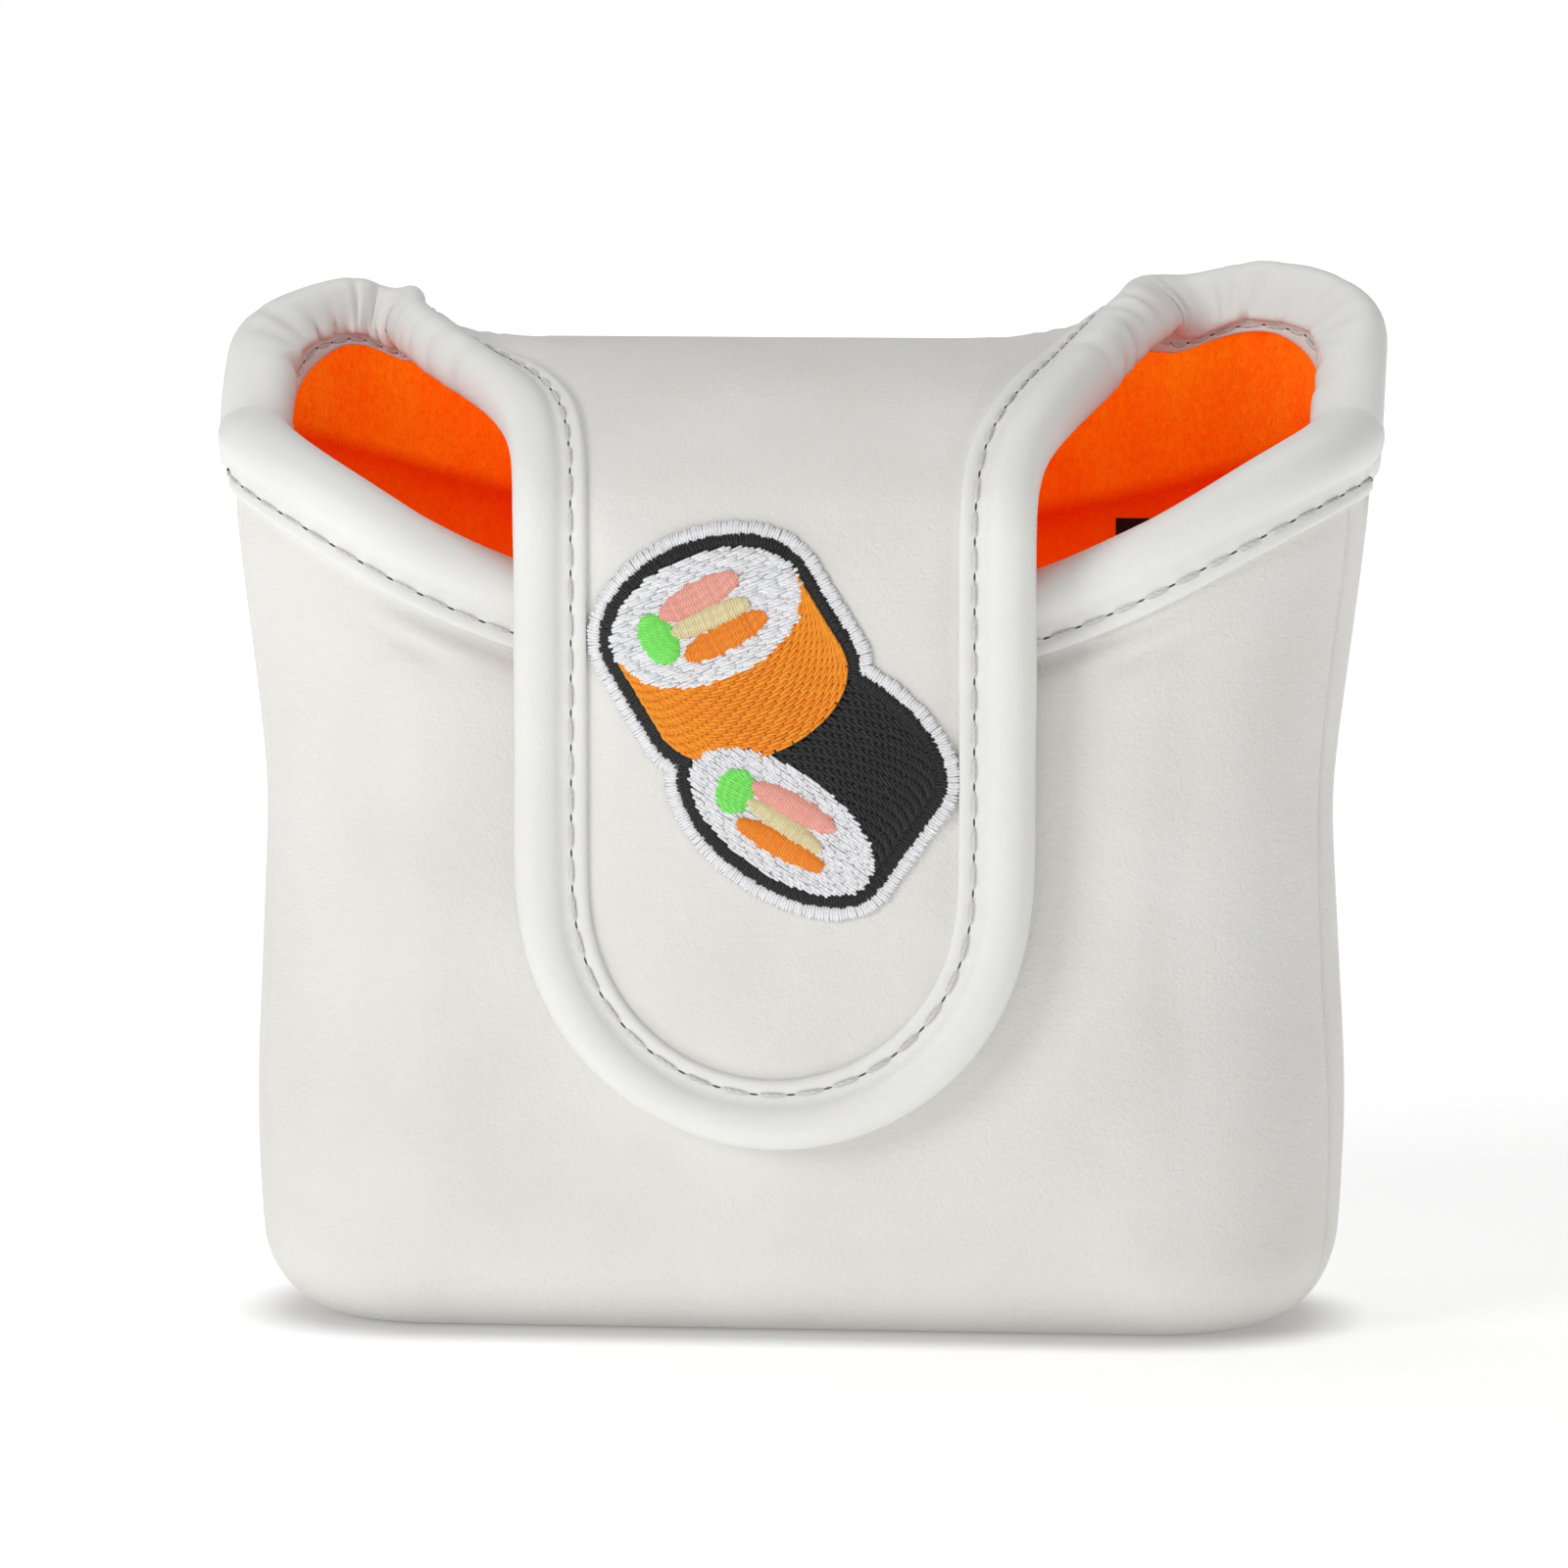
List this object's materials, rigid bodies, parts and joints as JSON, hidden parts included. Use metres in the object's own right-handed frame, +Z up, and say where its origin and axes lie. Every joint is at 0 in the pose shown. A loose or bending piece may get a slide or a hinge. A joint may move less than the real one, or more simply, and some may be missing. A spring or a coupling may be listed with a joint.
{
  "type": "putter head cover",
  "caption": "Lined leather pouch cover for a mallet putter head, with eared back panel, padded bindings and a folding magnetic tongue flap bearing an embroidered patch.",
  "frame": {"origin": "middle of the flat base, on the plane the cover rests on", "axes": "+Z up, +X across the width towards the right of the front view, the flapped front faces -Y"},
  "size_m": [0.1372, 0.0587, 0.1191],
  "materials": {
    "white_leather": "fine pebbled grain, satin",
    "trim_leather": "smooth padded roll, satin",
    "plush_lining": "short dense pile",
    "foam": "open-cell foam sheet",
    "board": "stiffener sheet",
    "magnet": "nickel plated disk",
    "label": "blank woven tab",
    "topstitch": "polyester thread",
    "twill_black": "dense fill stitch",
    "embroidery_white": "satin stitch",
    "embroidery_black": "fill stitch",
    "embroidery_orange": "fill stitch",
    "embroidery_salmon": "satin stitch",
    "embroidery_egg": "satin stitch",
    "embroidery_leaf": "satin stitch",
    "embroidery_carrot": "satin stitch"
  },
  "bodies": {
    "pouch": {"front_panel": "white_leather", "back_panel": "white_leather", "gusset_right": "white_leather", "gusset_left": "white_leather", "base_panel": "white_leather", "front_lining": "plush_lining", "back_lining": "plush_lining", "side_lining_right": "plush_lining", "side_lining_left": "plush_lining", "base_lining": "plush_lining", "front_foam": "foam", "back_foam": "foam", "base_board": "board", "pouch_magnet": "magnet", "inner_label": "label", "mouth_binding": "trim_leather", "mouth_filler": "foam", "mouth_thread": "topstitch", "ear_right_binding": "trim_leather", "ear_right_filler": "foam", "ear_right_thread": "topstitch", "ear_left_binding": "trim_leather", "ear_left_filler": "foam", "ear_left_thread": "topstitch"},
    "bridge": {"bridge_panel": "white_leather", "bridge_lining": "plush_lining", "bridge_foam": "foam", "bridge_right_binding": "trim_leather", "bridge_right_filler": "foam", "bridge_right_thread": "topstitch", "bridge_left_binding": "trim_leather", "bridge_left_filler": "foam", "bridge_left_thread": "topstitch"},
    "tongue": {"tongue_panel": "white_leather", "tongue_lining": "plush_lining", "tongue_foam": "foam", "tongue_magnet": "magnet", "tongue_binding": "trim_leather", "tongue_filler": "foam", "tongue_thread": "topstitch", "patch_backing": "twill_black", "patch_border": "embroidery_white", "upper_roll_side": "embroidery_orange", "lower_roll_side": "embroidery_black", "upper_rice": "embroidery_white", "lower_rice": "embroidery_white", "upper_salmon": "embroidery_salmon", "upper_egg": "embroidery_egg", "upper_leaf": "embroidery_leaf", "upper_carrot": "embroidery_carrot", "lower_salmon": "embroidery_salmon", "lower_egg": "embroidery_egg", "lower_leaf": "embroidery_leaf", "lower_carrot": "embroidery_carrot"}
  },
  "joints": [
    {"name": "flap_back_fold", "type": "hinge", "parent": "pouch", "child": "bridge", "pos_m": [0, 0.014, 0.1235], "axis": [-1, 0, 0], "range_deg": [0, 150]},
    {"name": "flap_front_fold", "type": "hinge", "parent": "bridge", "child": "tongue", "pos_m": [0, -0.0296, 0.1039], "axis": [-1, 0, 0], "range_deg": [0, 80]}
  ]
}
